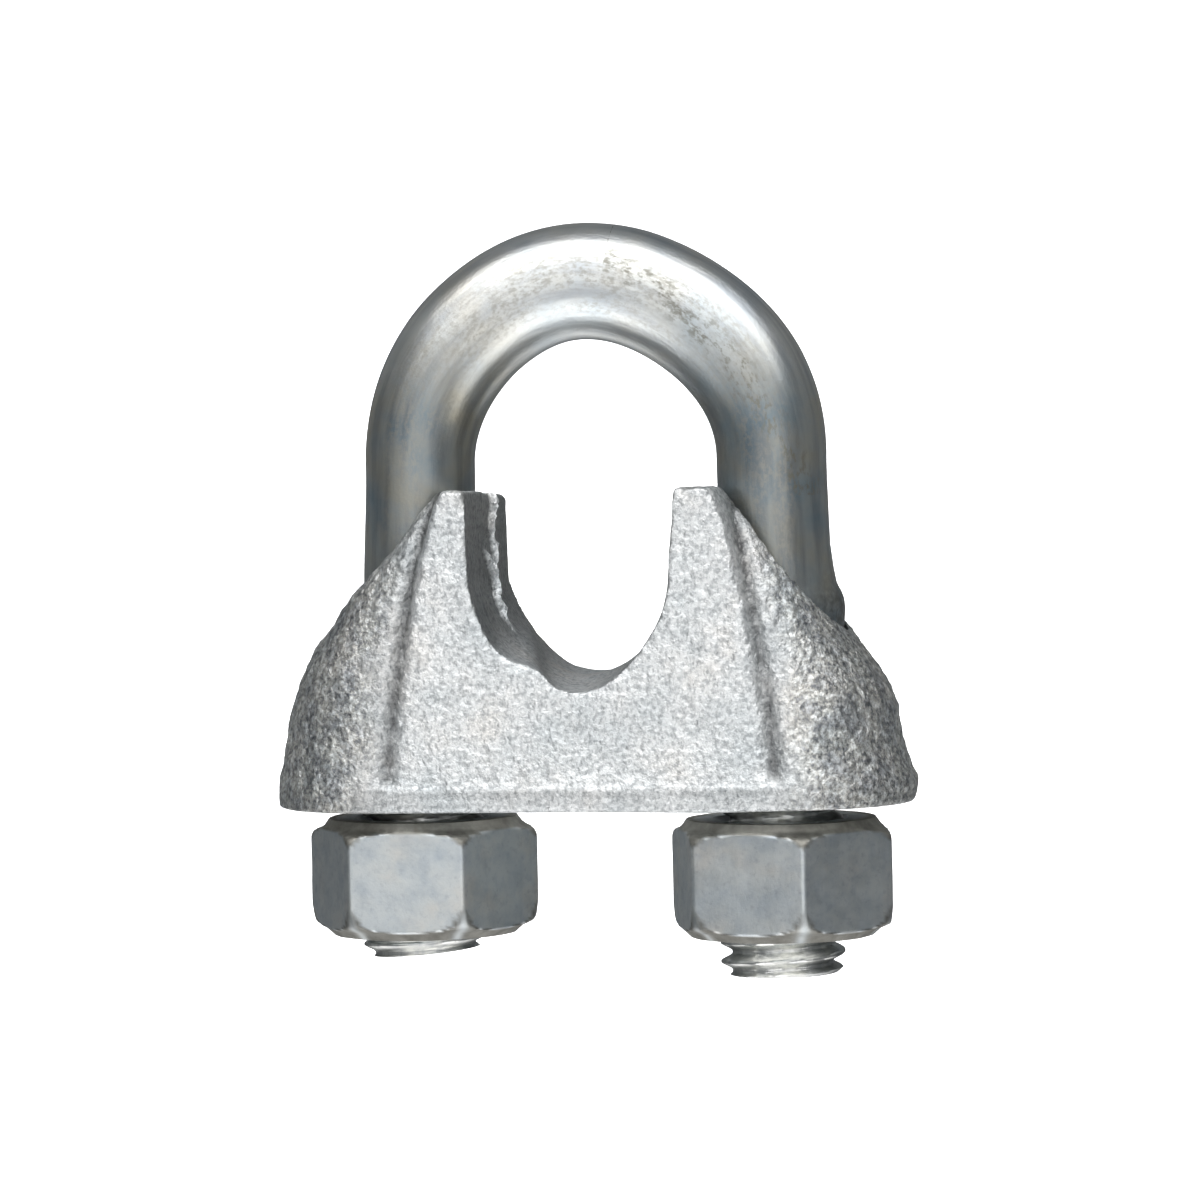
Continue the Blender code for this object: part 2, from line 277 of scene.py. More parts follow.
def u_bolt():
    columns = 72
    line, outward = bolt_centre_line(90, {side: leg_heights(side) for side in SIDES})
    turn = np.linspace(0, 2 * math.pi, columns, endpoint=False)
    along = np.concatenate([[0.0], np.cumsum(np.linalg.norm(np.diff(line, axis=0), axis=1))])
    rings, straight, swollen, off_score = [], [], [], []
    for (x, z), (out_x, out_z), way in zip(line, outward, along):
        side = "left" if x < 0 else "right"
        end = LEG_END[side] - END_DROP[side]
        angle = turn if x > 0 else math.pi - turn
        wander = 0.06 * np.sin(2 * angle + 1.0) + 0.04 * np.sin(5 * angle)
        swelling = np.interp(z, SWELL_Z, SWELL) * (x > 0)
        swelling = swelling * bell(turn_from(angle, SWELL_TURN), SWELL_SPREAD)
        rise = END_SLOPE[side] * END_R * np.cos(angle)
        slant = rise * max(0.0, 1 - (z - end) / END_SLOPE_HEIGHT)
        radius = rod_radius(z + slant, angle, end + rise, wander) + swelling
        reach = radius * np.cos(turn)
        ring = [x + reach * out_x, radius * np.sin(turn), z + reach * out_z + slant]
        rings.append(np.stack(ring, axis=1))
        straight.append(np.stack([reach, radius * np.sin(turn), np.full(columns, way)], axis=1))
        swollen.append(swelling)
        round_bow = math.degrees(math.atan2(z - BOW_Z, x))
        score = np.interp(round_bow, SCORE_ANGLE, SCORE_REACH, left=NO_SCORE, right=NO_SCORE)
        off_score.append(np.where(np.sin(turn) < 0.3, reach - score, NO_SCORE))
    obj = tube_object("u_bolt_forged", rings)
    positions, normals = vertex_arrays(obj.data)
    push_out(obj.data, positions, normals, 0.03 * noise_at(positions, 6.0, 2, seed=1.0))
    unbent = obj.data.attributes.new("unbent", "FLOAT_VECTOR", "POINT")
    unbent.data.foreach_set("vector", np.concatenate(straight).ravel())
    point_values(obj.data, "swollen", np.concatenate(swollen))
    point_values(obj.data, "off_score", np.concatenate(off_score))
    return obj


# ---- saddle ----
# Plan of the casting at each height: lengths of its left and right halves along X,
# half depth along Y and radius of its ends
FORM_Z = (-18.2, -16.25, -15.6, -13.6, -11.5, -9.4, -7.6, -5.5, -3.3, -1.0, 0.9, 3.0, 5.4, 7.0)
FORM_LEFT = (
    25.35, 25.4, 25.2, 24.85, 24.5, 23.9, 23.15, 21.95, 20.25, 18.5, 16.75, 14.8, 12.9, 11.3,
)
FORM_RIGHT = (
    25.35, 25.75, 25.2, 24.55, 24.3, 23.8, 22.75, 21.1, 19.4, 17.8, 16.3, 14.5, 12.6, 11.0,
)
FORM_DEPTH = (9.42, 9.5, 9.3, 9.1, 9.0, 8.85, 8.7, 8.5, 8.3, 8.1, 7.9, 7.7, 7.4, 7.2)
FORM_END = (9.1, 9.2, 9.0, 8.9, 8.7, 8.4, 8.0, 7.3, 6.5, 5.5, 4.6, 3.7, 2.9, 2.3)
# Half width of the raised panel on the front and back
PANEL_Z = (-18.2, -16.0, -10.0, -5.6, -1.0, 2.75, 5.0, 6.3, 7.0)
PANEL_WIDTH = (14.85, 14.75, 14.2, 13.6, 12.85, 12.1, 11.5, 11.0, 10.5)
PANEL_SHIFT = 0.15
# Angle round the seat and radius there, at the front and at the back: shallow flutes left
# by the lay of the pattern's rope
SEAT_FRONT = (
    (-180, 7.9), (-160, 7.65), (-150, 7.75), (-134, 7.98), (-120, 7.7), (-111, 7.4),
    (-104, 7.65), (-98, 8.5), (-88, 8.95), (-79, 9.05), (-67, 8.65), (-52, 8.08),
    (-38, 7.75), (-18, 7.75), (0, 7.78),
)
SEAT_BACK = (
    (-180, 7.6), (-165, 7.2), (-147, 7.05), (-135, 7.25), (-124, 7.45), (-110, 7.9), (-95, 8.0),
    (-75, 8.1), (-60, 8.0), (-40, 7.8), (-20, 7.95), (0, 7.9),
)
# Turn of the flutes in degrees for each millimetre along the rope
LAY_TURN = -1.9


def past_panel(x, z):
    """How far points lie outside the raised panel's left or right edge."""
    return np.abs(x - CAST_X - PANEL_SHIFT) - blurred(PANEL_Z, PANEL_WIDTH, z, 1.2)


def saddle_depth(x, z, length, sign):
    """Half depth of the casting at a distance from its middle, for a half of that length."""
    depth = blurred(FORM_Z, FORM_DEPTH, z, 0.8)
    end = np.minimum(blurred(FORM_Z, FORM_END, z, 0.8), depth - 0.2)
    beyond = np.clip(x - (length - end), 0.0, end)
    boss = depth - end + np.sqrt(end ** 2 - beyond ** 2)
    past = past_panel(CAST_X + sign * x, z)
    panel = 9.06 - 0.006 * (z - UNDERSIDE)
    share = 1 - smoothstep(-0.2, 0.3, past)
    crease = 0.8 * bell(past - 0.5, 0.45) * smoothstep(LIP_TOP - 0.1, LIP_TOP + 0.5, z)
    crease *= 1 - smoothstep(5.6, HORN_TOP, z)
    above_lip = smoothstep(LIP_TOP - 0.15, LIP_TOP + 0.15, z)
    body = boss + (np.maximum(panel, boss) - boss) * share - crease
    return boss + (body - boss) * above_lip


def saddle_form():
    """The casting's outer form as rings in plan, one above the other."""
    levels = np.linspace(UNDERSIDE, HORN_TOP, 72)
    t = np.linspace(0, math.pi / 2, 66)
    rings = []
    for z in levels:
        halves = []
        for sign, lengths in ((1, FORM_RIGHT), (-1, FORM_LEFT)):
            length = blurred(FORM_Z, lengths, z, 0.8)
            x = length * np.sin(t)
            y = saddle_depth(x, z, length, sign)
            lean = HORN_LEAN * smoothstep(2.0, HORN_TOP, z) / (2 * HALF_DEPTH)
            sag = FOOT_SAG * math.exp(-((z - UNDERSIDE) / 1.5) ** 2) * np.exp(-((x - 6) / 7) ** 2)
            front = np.stack([x, -y, z - lean * (HALF_DEPTH - y) - sag * (sign > 0)], axis=1)
            back = np.stack([x, y, z - lean * (HALF_DEPTH + y)], axis=1)
            halves.append((front, back))
        (right_front, right_back), (left_front, left_back) = halves
        mirror = (-1, 1, 1)
        right = np.concatenate([right_back, right_front[::-1]])
        left = np.concatenate([left_front[1:], left_back[::-1][:-1]]) * mirror
        rings.append(np.concatenate([right, left]) + (CAST_X, 0, 0))
    return tube_object("saddle_cast", rings)


def seat_radius(angle, y):
    """Radius of the rope seat in degrees round it, fluted on the rope's lay and waisted inside."""
    share = np.clip((y + HALF_DEPTH) / (2 * HALF_DEPTH), 0.0, 1.0)
    lay = LAY_TURN * 2 * HALF_DEPTH
    front = blurred(*zip(*SEAT_FRONT), angle - lay * share, 8)
    back = blurred(*zip(*SEAT_BACK), angle + lay * (1 - share), 8)
    waist = 0.3 * np.exp(-(y / 3.5) ** 2)
    return front + (back - front) * share - waist


def seat_cutter():
    angle = np.linspace(0, -180, 73)
    rings = []
    for y in np.linspace(-HALF_DEPTH - OVER, HALF_DEPTH + OVER, 46):
        radius = seat_radius(angle, y)
        turn = np.radians(angle)
        arc = np.stack([radius * np.cos(turn), np.full(73, y), radius * np.sin(turn)], axis=1)
        up = np.linspace(HORN_TOP + OVER, 0.4, 24)
        right = np.stack([radius[0] + 0.075 * up, np.full(24, y), up], axis=1)
        left = np.stack([-radius[-1] - 0.02 * up[::-1], np.full(24, y), up[::-1]], axis=1)
        rings.append(np.concatenate([right, arc, left]) + (SEAT_X, 0, 0))
    return tube_object("seat_cutter", rings)


def hole_cutter(sign):
    turn = np.linspace(0, 2 * math.pi, 64, endpoint=False)
    rings = []
    for z in (UNDERSIDE - OVER, HORN_TOP + OVER):
        x = sign * LEG_X + HOLE_R * np.cos(turn)
        rings.append(np.stack([x, HOLE_R * np.sin(turn), np.full(64, z)], axis=1))
    return tube_object("hole_cutter", rings)


def apply_modifiers(obj):
    depsgraph = bpy.context.evaluated_depsgraph_get()
    mesh = bpy.data.meshes.new_from_object(obj.evaluated_get(depsgraph))
    obj.modifiers.clear()
    obj.data = mesh


def fin(past):
    """Height of a fin with a steep front, past its crest by a distance in millimetres."""
    return smoothstep(-0.3, 0.0, past) * (1 - smoothstep(0.0, 1.3, past))


def parting_ridge(positions, normals):
    """Height of the ragged fin that the core left down the left wall of the seat."""
    x, y, z = positions.T
    ragged = noise_at(positions * (0, 0.3, 1), 1.6, 3, seed=11.0)
    on_wall = smoothstep(0.3, 0.7, normals[:, 0]) * (x < SEAT_X) * (x > -10.5)
    main = fin(y + 0.8 - 0.3 * np.sin(1.1 * z) - 0.6 * ragged) * smoothstep(-5.0, -3.0, z)
    branch = fin(y - np.interp(z, (-1.0, 2.6), (0.2, -3.8)) - 0.5 * ragged)
    branch *= smoothstep(-1.2, -0.6, z) * (1 - smoothstep(1.6, 2.6, z))
    return on_wall * np.maximum(main, 0.8 * branch) * np.clip(0.8 + 0.6 * ragged, 0.2, 1.1)


def patchy(positions):
    """A slow wander of a millimetre or two, to break up the limits between tones."""
    return 1.6 * noise_at(positions, 3.5, 3, seed=19.0)


def seat_share(positions, normals):
    """1 on the walls of the rope seat and 0 away from it."""
    x, _, z = positions.T
    near = np.where(z < 0, np.hypot(x - SEAT_X, z), np.abs(x - SEAT_X)) < 9.4
    return near * (1 - smoothstep(0.4, 0.75, np.abs(normals[:, 1])))


def zinc_tone_and_painted_light(positions, normals, ridge):
    """Brightness painted into the zinc: 1 on the panels; painted shade on the bosses, most on the
    left, in the creases and on the seat's steep walls; a darker streaked band on the lip; painted
    highlights on the lip's edge, the seat's floor and the parting ridge.
    """
    x, y, z = positions.T
    past = past_panel(x, z)
    # Painted shade on the bosses, which turn away from the light, and more on the left boss.
    tone_and_painted_light = 1 - 0.10 * (past > 0.5) - 0.33 * smoothstep(1.0, 7.0, past + patchy(positions))
    tone_and_painted_light *= 1 - 0.12 * (x < 0) * bell(past - 2.0, 1.8)
    ragged = noise_at(positions, 0.8, 2, seed=13.0)
    # Painted shade down the creases between the panel and the bosses.
    crease_shade_mask = bell(past - 0.5, 0.42) * (np.abs(y) > 4.0) * smoothstep(LIP_TOP, LIP_TOP + 0.8, z)
    tone_and_painted_light *= 1 - 0.72 * crease_shade_mask * np.clip(0.9 + 0.4 * ragged, 0.5, 1.0)
    below_panel = 1 - smoothstep(-0.4, 1.2, past)
    on_lip = 1 - smoothstep(LIP_TOP - 0.3, LIP_TOP + 0.1, z)
    streak = noise_at(positions * (0.12, 1, 1.6), 0.8, 2, seed=23.0)
    tone_and_painted_light *= 1 - on_lip * (0.12 + 0.10 * streak)
    # A painted highlight along the lip's top edge, with a line of painted shade just below it.
    tone_and_painted_light *= 1 + 0.30 * below_panel * bell(z - LIP_TOP + 0.05, 0.2)
    tone_and_painted_light *= 1 - 0.18 * below_panel * bell(z - LIP_TOP + 0.55, 0.25)
    in_seat = seat_share(positions, normals)
    steepness = np.abs(normals[:, 0])
    # Painted shade on the seat's steep walls, painted light on its floor and a painted highlight
    # on the parting ridge.
    seat_shade_and_highlight = np.interp(steepness, (0.2, 0.5, 0.75, 0.95), (1.25, 0.95, 0.6, 0.38))
    seat_shade_and_highlight += (1.5 - seat_shade_and_highlight) * np.clip(ridge * 1.6, 0, 1)
    return tone_and_painted_light + (seat_shade_and_highlight - tone_and_painted_light) * in_seat


def bare_casting():
    """The casting with its seat and holes cut, in one even mesh with soft edges."""
    obj = saddle_form()
    cutters = [seat_cutter(), hole_cutter(-1), hole_cutter(1)]
    for cutter in cutters:
        cut = obj.modifiers.new("cut", "BOOLEAN")
        cut.operation = "DIFFERENCE"
        cut.object = cutter
    skin = obj.modifiers.new("skin", "REMESH")
    skin.mode = "VOXEL"
    skin.voxel_size = VOXEL * MM
    soften = obj.modifiers.new("soften", "SMOOTH")
    soften.factor = 0.5
    soften.iterations = 8
    apply_modifiers(obj)
    for cutter in cutters:
        bpy.data.objects.remove(cutter)
    return obj


def saddle():
    obj = bare_casting()
    positions, normals = vertex_arrays(obj.data)
    x, y, z = positions.T
    past = past_panel(x, z)
    on_panel = smoothstep(0.7, 0.95, np.abs(normals[:, 1])) * (1 - smoothstep(-0.3, 0.3, past))
    calm = np.maximum(on_panel, seat_share(positions, normals))
    # the underside and the leg holes stay true
    rough = smoothstep(UNDERSIDE - 0.1, UNDERSIDE + 0.9, z)
    rough *= smoothstep(HOLE_R, HOLE_R + 0.7, np.hypot(np.abs(x) - LEG_X, y))
    lumps = 0.10 * noise_at(positions, 5.0, 2, seed=3.0) * rough
    pits = 0.13 * noise_at(positions, 1.0, 3, seed=7.0) * (1 - 0.7 * calm) * rough
    on_lip = (1 - smoothstep(LIP_TOP - 0.4, LIP_TOP, z)) * rough
    flow = 0.08 * noise_at(positions * (0.3, 1, 1.6), 1.2, 2, seed=17.0) * on_lip
    ridge = parting_ridge(positions, normals)
    push_out(obj.data, positions, normals, lumps + pits + flow + RIDGE_RISE * ridge)
    # Stores the painted shade and highlights for the casting's material.
    point_values(obj.data, "tone_and_painted_light", zinc_tone_and_painted_light(positions, normals, ridge))
    point_values(obj.data, "coarse", smoothstep(0.6, 4.5, past + patchy(positions)))
    return obj


# ---- nuts ----
def hexagon_radius(angle):
    """Distance from the axis to the nut's side, for a hexagon with rounded corners."""
    sixth = math.pi / 3
    from_corner = np.abs(np.mod(angle, sixth))
    from_corner = np.minimum(from_corner, sixth - from_corner)
    flat = NUT_FLATS / 2 / np.cos(sixth / 2 - from_corner)
    centre = (NUT_FLATS / 2 - NUT_EDGE) / math.cos(sixth / 2)
    across = np.minimum(centre * np.sin(from_corner), NUT_EDGE)
    rounded = centre * np.cos(from_corner) + np.sqrt(NUT_EDGE ** 2 - across ** 2)
    return np.where(across < NUT_EDGE * math.sin(sixth / 2), rounded, flat)


def soft_min(a, b, width):
    """The smaller of two, with their corner rounded over that width."""
    h = np.clip(0.5 + 0.5 * (b - a) / width, 0.0, 1.0)
    return b + (a - b) * h - width * h * (1 - h)


def crown_radius(depth, height):
    """Radius of a nut's two chamfered ends at a depth below its top face."""
    top = np.interp(depth, *zip(*CROWN_TOP))
    foot = np.interp(height - depth, *zip(*CROWN_FOOT))
    return np.minimum(top, foot)


def nut_directions():
    """Angles round a nut, close together at its corners."""
    near_corner = np.array([0, 0.3, 0.6, 0.9, 1.2, 1.6, 2.2])
    across_flat = np.arange(4.0, 57.0, 2.6)
    sixth = np.unique(np.concatenate([near_corner, 60 - near_corner[1:], across_flat]))
    return np.radians(np.concatenate([sixth + 60 * i for i in range(6)]))


def nut_section(low, high, turn, nut_turn):
    """Radii and heights of a nut's rings: outer side, bottom face, threaded bore and top face."""
    height = high - low
    columns = len(turn)
    flats = hexagon_radius(turn - nut_turn)
    rows = []
    fractions = 0.5 - 0.5 * np.cos(np.linspace(0, math.pi, 46))
    for fraction in fractions:
        depth = fraction * height
        cone = np.full(columns, crown_radius(depth, height))
        rows.append((soft_min(flats, cone, 0.12), np.full(columns, high - depth)))
    for radius in FACE_RINGS + (MOUTH_R,):
        rows.append((np.full(columns, radius), np.full(columns, low)))
    for z in np.arange(low + 0.12, high - 0.1, PITCH / 12):
        tapped = THROAT_R + (CREST_R - ROOT_R) * ridge_height(z, turn)
        depth = min(z - low, high - z)
        rows.append((np.maximum(tapped, MOUTH_R - depth * 0.9), np.full(columns, z)))
    for radius in (MOUTH_R,) + FACE_RINGS[::-1]:
        rows.append((np.full(columns, radius), np.full(columns, high)))
    return rows


def nut(side):
    low, high = NUT_BOX[side][0].z, NUT_BOX[side][1].z
    centre_x = SIDES[side] * LEG_X
    turn = nut_directions() + NUT_TURN[side]
    rings = []
    for radius, z in nut_section(low, high, turn, NUT_TURN[side]):
        ring = [centre_x + radius * np.cos(turn), radius * np.sin(turn), z]
        rings.append(np.stack(ring, axis=1))
    obj = tube_object(f"{side}_nut_forged", rings, closed=True)
    positions, normals = vertex_arrays(obj.data)
    from_axis = np.hypot(positions[:, 0] - centre_x, positions[:, 1])
    outside = smoothstep(6.0, 7.0, from_axis)
    dents = 0.03 * noise_at(positions, 3.0, 2, seed=5.0)
    push_out(obj.data, positions, normals, dents * outside)
    angle = np.arctan2(positions[:, 1], positions[:, 0] - centre_x) - NUT_TURN[side]
    depth = high - positions[:, 2]
    from_corner = np.degrees(np.abs(np.mod(angle + math.pi / 6, math.pi / 3) - math.pi / 6))
    # The crown marks the chamfers for painted shade, lifted at the lower corners so that their
    # reflection shows.
    unshaded_corner = bell(from_corner, 3.0) * (positions[:, 2] < (low + high) / 2)
    inside_crown = crown_radius(depth, high - low) - hexagon_radius(angle)
    crown = (1 - smoothstep(0.12, 0.22, inside_crown)) * (1 - 0.7 * unshaded_corner)
    point_values(obj.data, "crown", crown * outside)
    point_values(obj.data, "foot", smoothstep(1.0, 2.0, depth))
    return obj


# ---- materials ----
class Nodes:
    """Short calls for building one material's node tree. Coordinates are in millimetres."""

    def __init__(self, name):
        self.material = bpy.data.materials.new(name)
        self.material.use_nodes = True
        self.tree = self.material.node_tree
        self.shader = self.tree.nodes["Principled BSDF"]
        coordinates = self.tree.nodes.new("ShaderNodeTexCoord")
        scale = self.tree.nodes.new("ShaderNodeVectorMath")
        scale.operation = "SCALE"
        scale.inputs["Scale"].default_value = 1 / MM
        self.link(coordinates.outputs["Object"], scale.inputs[0])
        self.place = scale.outputs[0]

    def link(self, source, target):
        self.tree.links.new(source, target)

    def coordinate(self, axis):
        node = self.tree.nodes.new("ShaderNodeSeparateXYZ")
        self.link(self.place, node.inputs[0])
        return node.outputs[axis]

    def maths(self, operation, *values):
        node = self.tree.nodes.new("ShaderNodeMath")
        node.operation = operation
        for value, socket in zip(values, node.inputs):
            self.link(value, socket)
        return node.outputs[0]

    def magnitude(self, value):
        return self.maths("ABSOLUTE", value)

    def product(self, first, second):
        return self.maths("MULTIPLY", first, second)

    def largest(self, first, second):
        return self.maths("MAXIMUM", first, second)

    def step(self, value, low, high):
        """Rises smoothly from 0 at low to 1 at high."""
        node = self.tree.nodes.new("ShaderNodeMapRange")
        node.interpolation_type = "SMOOTHSTEP"
        node.inputs["From Min"].default_value = low
        node.inputs["From Max"].default_value = high
        self.link(value, node.inputs["Value"])
        return node.outputs["Result"]

    def attribute(self, name, output="Fac"):
        node = self.tree.nodes.new("ShaderNodeAttribute")
        node.attribute_name = name
        return node.outputs[output]

    def noise(self, size, detail=3.0, roughness=0.55, stretch=(1, 1, 1), place=None):
        mapping = self.tree.nodes.new("ShaderNodeMapping")
        mapping.inputs["Scale"].default_value = [s / size for s in stretch]
        self.link(place or self.place, mapping.inputs["Vector"])
        node = self.tree.nodes.new("ShaderNodeTexNoise")
        node.inputs["Scale"].default_value = 1.0
        node.inputs["Detail"].default_value = detail
        node.inputs["Roughness"].default_value = roughness
        self.link(mapping.outputs[0], node.inputs["Vector"])
        return node.outputs["Fac"]

    def cells(self, size):
        mapping = self.tree.nodes.new("ShaderNodeMapping")
        mapping.inputs["Scale"].default_value = [1 / size] * 3
        self.link(self.place, mapping.inputs["Vector"])
        node = self.tree.nodes.new("ShaderNodeTexVoronoi")
        node.inputs["Scale"].default_value = 1.0
        self.link(mapping.outputs[0], node.inputs["Vector"])
        return node.outputs["Distance"]

    def ramp(self, value, stops):
        node = self.tree.nodes.new("ShaderNodeValToRGB")
        elements = node.color_ramp.elements
        while len(elements) < len(stops):
            elements.new(0.5)
        for element, (position, colour) in zip(elements, stops):
            element.position = position
            element.color = (*colour, 1.0)
        self.link(value, node.inputs["Fac"])
        return node.outputs["Color"]

    def mix(self, fraction, first, second, blend="MIX"):
        node = self.tree.nodes.new("ShaderNodeMix")
        node.data_type = "RGBA"
        node.blend_type = blend
        colours = [socket for socket in node.inputs if socket.type == "RGBA"]
        sockets = (node.inputs["Factor"], colours[0], colours[1])
        for socket, value in zip(sockets, (fraction, first, second)):
            if isinstance(value, bpy.types.NodeSocket):
                self.link(value, socket)
            else:
                socket.default_value = value if isinstance(value, float) else (*value, 1.0)
        return next(socket for socket in node.outputs if socket.type == "RGBA")

    def times(self, first, second):
        """One colour multiplied by another."""
        return self.mix(1.0, first, second, "MULTIPLY")

    def drive(self, name, value):
        """Links a value to the shader's socket of that name."""
        self.link(value, self.shader.inputs[name])

    def spread(self, value, low, high):
        """Maps 0 to 1 onto low to high."""
        node = self.tree.nodes.new("ShaderNodeMapRange")
        node.inputs["To Min"].default_value = low
        node.inputs["To Max"].default_value = high
        self.link(value, node.inputs["Value"])
        return node.outputs["Result"]

    def bump(self, height, distance, strength=1.0, under=None):
        node = self.tree.nodes.new("ShaderNodeBump")
        node.inputs["Distance"].default_value = distance * MM
        node.inputs["Strength"].default_value = strength
        self.link(height, node.inputs["Height"])
        if under is not None:
            self.link(under, node.inputs["Normal"])
        return node.outputs["Normal"]


def rolled_zinc():
    """Bright zinc on rolled steel: drawn streaks, a worn band front and back, and painted light:
    brighter toward the bow's top with painted shade down the legs, a painted highlight on the
    threads' front and back, and painted shade where the right leg enters the saddle.
    """
    nodes = Nodes("rolled_zinc")
    bright = nodes.ramp(nodes.noise(7.0, 3.0), [
        (0.32, (0.76, 0.83, 0.88)),
        (0.50, (0.92, 0.94, 0.94)),
        (0.70, (0.96, 0.94, 0.88)),
    ])
    shaded_leg_tone = nodes.ramp(nodes.noise(5.0, 3.0), [
        (0.32, (0.24, 0.30, 0.34)),
        (0.50, (0.33, 0.35, 0.35)),
        (0.70, (0.38, 0.36, 0.30)),
    ])
    height = nodes.coordinate("Z")
    # Painted light: brighter toward the bow's top, with painted shade down the legs.
    clean = nodes.step(height, 12.0, 23.6)
    tones = nodes.mix(clean, shaded_leg_tone, bright)
    threads = nodes.step(height, THREAD_TOP - 4.0, THREAD_TOP - 9.0)
    # Painted highlight on the threads' front and back, painted shade at their sides.
    facing = nodes.step(nodes.magnitude(nodes.coordinate("Y")), 1.2, 4.2)
    thread_sheen_and_shade = nodes.mix(facing, (0.40, 0.41, 0.40), (0.95, 0.95, 0.92))
    tones = nodes.mix(threads, tones, thread_sheen_and_shade)
    unbent = nodes.attribute("unbent", "Vector")
    drawn = nodes.noise(1.1, 4.0, 0.6, (1, 1, 0.1), unbent)
    streaks = nodes.ramp(drawn, [(0.36, (0.72, 0.73, 0.75)), (0.58, (1.0, 1.0, 0.99))])
    tones = nodes.times(tones, streaks)
    front = nodes.product(
        nodes.step(nodes.magnitude(nodes.coordinate("Y")), 3.3, 4.35),
        nodes.step(height, THREAD_TOP - 1.0, THREAD_TOP),
    )
    mottle = nodes.step(nodes.noise(0.30, 4.0, 0.65, (1, 1, 0.6), unbent), 0.40, 0.66)
    stain = nodes.step(nodes.noise(2.6, 3.0, 0.55, (1, 1, 0.3), unbent), 0.34, 0.66)
    worn = nodes.product(nodes.product(front, mottle), nodes.spread(stain, 0.15, 0.9))
    colour = nodes.mix(nodes.spread(worn, 0.0, 0.7), tones, (0.40, 0.38, 0.33))
    wander = nodes.spread(nodes.noise(1.6, 4.0, 0.65), -1.3, 1.3)
    astray = nodes.magnitude(nodes.maths("ADD", nodes.attribute("off_score"), wander))
    flecks = nodes.step(nodes.noise(0.34, 4.0, 0.65, (1, 1, 0.5), unbent), 0.46, 0.64)
    scored = nodes.product(nodes.step(astray, 1.9, 0.05), flecks)
    colour = nodes.mix(nodes.spread(scored, 0.0, 0.8), colour, (0.24, 0.23, 0.19))
    # Painted shade, in dark patches, on the swelling where the right leg enters the saddle.
    patches = nodes.step(nodes.noise(0.5, 4.0, 0.65), 0.3, 0.62)
    leg_entry_shade = nodes.product(nodes.attribute("swollen"), patches)
    colour = nodes.mix(leg_entry_shade, colour, (0.13, 0.13, 0.12))
    nodes.drive("Base Color", colour)
    nodes.drive("Metallic", nodes.spread(nodes.largest(clean, threads), 0.93, 1.0))
    roughness = nodes.spread(nodes.noise(1.6, 4.0), 0.25, 0.38)
    nodes.drive("Roughness", nodes.largest(roughness, nodes.spread(front, 0.2, 0.44)))
    fine = nodes.bump(nodes.noise(0.25, 3.0), 0.03, 0.6)
    scratches = nodes.bump(drawn, 0.06, 0.6, fine)
    normal = nodes.bump(nodes.noise(1.8, 3.0), 0.05, 0.5, scratches)
    nodes.drive("Normal", normal)
    return nodes.material


def cast_zinc():
    """Zinc on a rough sand casting: sparkling grain with painted glints, pits, darker and lighter
    patches, and painted shade and highlights from the vertices.
    """
    nodes = Nodes("cast_zinc")
    patches = nodes.ramp(nodes.noise(5.0, 4.0), [
        (0.32, (0.68, 0.71, 0.72)),
        (0.55, (0.80, 0.81, 0.81)),
        (0.75, (0.86, 0.84, 0.81)),
    ])
    grain = nodes.ramp(nodes.noise(0.38, 3.0, 0.6), [
        (0.36, (0.60, 0.61, 0.62)),
        (0.56, (1.0, 1.0, 1.0)),
    ])
    clean = nodes.times(patches, grain)
    # Speckle of the bosses' coarser grain; its bright specks above 1 are painted glints.
    speckle_and_glints = nodes.ramp(nodes.noise(0.46, 4.0, 0.68), [
        (0.38, (0.46, 0.47, 0.49)),
        (0.47, (0.86, 0.83, 0.78)),
        (0.60, (1.38, 1.38, 1.36)),
    ])
    uneven = nodes.ramp(nodes.noise(2.0, 3.0, 0.6), [
        (0.38, (0.74, 0.76, 0.80)),
        (0.60, (1.14, 1.14, 1.13)),
    ])
    speckle_and_glints = nodes.times(speckle_and_glints, uneven)
    clean = nodes.mix(nodes.attribute("coarse"), clean, nodes.times(clean, speckle_and_glints))
    # Multiplies in the painted shade and highlights stored on the casting's vertices.
    colour = nodes.times(clean, nodes.attribute("tone_and_painted_light", "Color"))
    nodes.drive("Base Color", colour)
    nodes.shader.inputs["Metallic"].default_value = 0.9
    nodes.drive("Roughness", nodes.spread(nodes.noise(0.6, 3.0), 0.32, 0.54))
    fine = nodes.bump(nodes.noise(0.22, 2.0), 0.05, 0.8)
    grains = nodes.bump(nodes.noise(0.42, 3.0, 0.6), 0.20, 0.9, fine)
    pits = nodes.bump(nodes.cells(0.8), 0.14, 0.8, grains)
    normal = nodes.bump(nodes.noise(1.3, 3.0, 0.6), 0.28, 0.9, pits)
    nodes.drive("Normal", normal)
    return nodes.material


